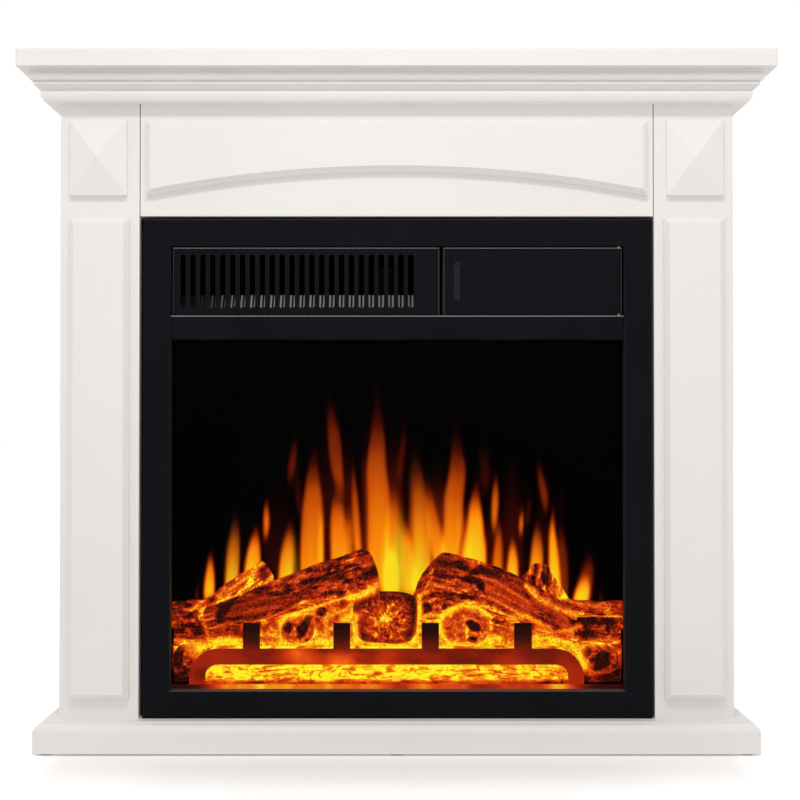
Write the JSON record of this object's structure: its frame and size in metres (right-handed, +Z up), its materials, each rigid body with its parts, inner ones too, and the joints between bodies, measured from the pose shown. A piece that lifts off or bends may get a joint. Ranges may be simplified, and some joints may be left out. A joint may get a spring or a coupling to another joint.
{
  "type": "electric fireplace",
  "caption": "Freestanding white mantel with pilasters and an arched header round a black firebox insert with heater grille, hinged control door, window, lit log set and flame screen.",
  "frame": {"origin": "on the floor, under the middle of the mantel's bounding box", "axes": "+Z up, +X to the right seen from the front, the front faces -Y"},
  "size_m": [0.813, 0.24, 0.7555],
  "materials": {
    "white_paint": "semi-gloss white paint on fibreboard",
    "raw_board": "bare fibreboard",
    "glide_nylon": "smooth nylon",
    "black_satin": "satin black powder coat",
    "black_casing": "matt black heat-resistant paint",
    "black_plastic": "fine textured moulding",
    "rocker_plastic": "polished moulding",
    "bright_steel": "bright rolled sheet",
    "spring_steel": "zinc plated",
    "zinc_sheet": "galvanised spangle",
    "motor_steel": "stamped laminations",
    "fan_aluminium": "pressed sheet",
    "mirror_strip": "polished reflector strip",
    "window_glass": "clear tempered pane",
    "circuit_board": "solder mask over laminate",
    "heater_mica": "mica sheet with resistance wire",
    "flame_screen": "smoked diffusing sheet with the flame picture",
    "ember_resin": "translucent cast resin, lit from below",
    "grate_resin": "translucent dark resin, lit from below",
    "log_resin": "painted translucent resin bark, lit from inside"
  },
  "bodies": {
    "mantel": {"mantel_shelf": "white_paint", "crown_front": "white_paint", "crown_left": "white_paint", "crown_right": "white_paint", "header_board": "white_paint", "header_arch_panel": "white_paint", "pilaster_left": "white_paint", "pilaster_right": "white_paint", "pilaster_panel_left": "white_paint", "pilaster_panel_right": "white_paint", "rosette_left": "white_paint", "rosette_right": "white_paint", "side_panel_left": "white_paint", "side_panel_right": "white_paint", "plinth_front": "white_paint", "plinth_left": "white_paint", "plinth_right": "white_paint", "plinth_deck": "raw_board", "rear_top_rail": "raw_board", "floor_glides": "glide_nylon", "front_frame": "black_satin", "heater_grille": "black_satin", "lower_rail": "black_satin", "door_catch": "black_plastic", "control_panel": "black_plastic", "control_board": "circuit_board", "front_glass": "window_glass", "glass_clips": "black_casing", "outlet_deflector": "bright_steel", "firebox_floor": "black_casing", "firebox_top": "black_casing", "firebox_left_wall": "black_casing", "firebox_right_wall": "black_casing", "rear_cover": "black_casing", "heater_shelf": "black_casing", "insert_brackets": "black_casing", "casing_screws": "spring_steel", "cable_gland": "black_plastic", "blower_housing": "black_casing", "blower_motor": "motor_steel", "heating_element": "heater_mica", "flame_screen": "flame_screen", "flame_motor": "motor_steel", "led_board": "circuit_board", "ember_bed": "ember_resin", "fire_grate": "grate_resin", "log_left_back": "log_resin", "log_left_front": "log_resin", "log_centre": "log_resin", "log_right_front": "log_resin", "log_right_back": "log_resin", "log_chunks": "log_resin"},
    "control_door": {"control_door": "black_satin", "door_hinge_pins": "bright_steel"},
    "power_rocker": {"power_rocker": "rocker_plastic"},
    "heat_rocker": {"heat_rocker": "rocker_plastic"},
    "thermostat_knob": {"thermostat_knob": "black_plastic"},
    "flame_dimmer_knob": {"flame_dimmer_knob": "black_plastic"},
    "blower_wheel": {"blower_wheel": "fan_aluminium"},
    "flame_rotor": {"flame_rotor": "mirror_strip"}
  },
  "joints": [
    {"name": "control_door_hinge", "type": "hinge", "parent": "mantel", "child": "control_door", "pos_m": [0.243, -0.0782, 0.51], "axis": [0, 0, 1], "range_deg": [0, 110]},
    {"name": "power_rocker_tilt", "type": "hinge", "parent": "mantel", "child": "power_rocker", "pos_m": [0.092, -0.058, 0.51], "axis": [-1, 0, 0], "range_deg": [0, 16]},
    {"name": "heat_rocker_tilt", "type": "hinge", "parent": "mantel", "child": "heat_rocker", "pos_m": [0.12, -0.058, 0.51], "axis": [-1, 0, 0], "range_deg": [0, 16]},
    {"name": "thermostat_turn", "type": "hinge", "parent": "mantel", "child": "thermostat_knob", "pos_m": [0.16, -0.058, 0.51], "axis": [0, 1, 0], "range_deg": [0, 270]},
    {"name": "flame_dimmer_turn", "type": "hinge", "parent": "mantel", "child": "flame_dimmer_knob", "pos_m": [0.202, -0.058, 0.51], "axis": [0, 1, 0], "range_deg": [0, 270]},
    {"name": "blower_spin", "type": "hinge", "parent": "mantel", "child": "blower_wheel", "pos_m": [-0.126, 0.024, 0.512], "axis": [1, 0, 0], "continuous": true},
    {"name": "flame_rotor_spin", "type": "hinge", "parent": "mantel", "child": "flame_rotor", "pos_m": [0, 0.062, 0.096], "axis": [1, 0, 0], "continuous": true}
  ]
}
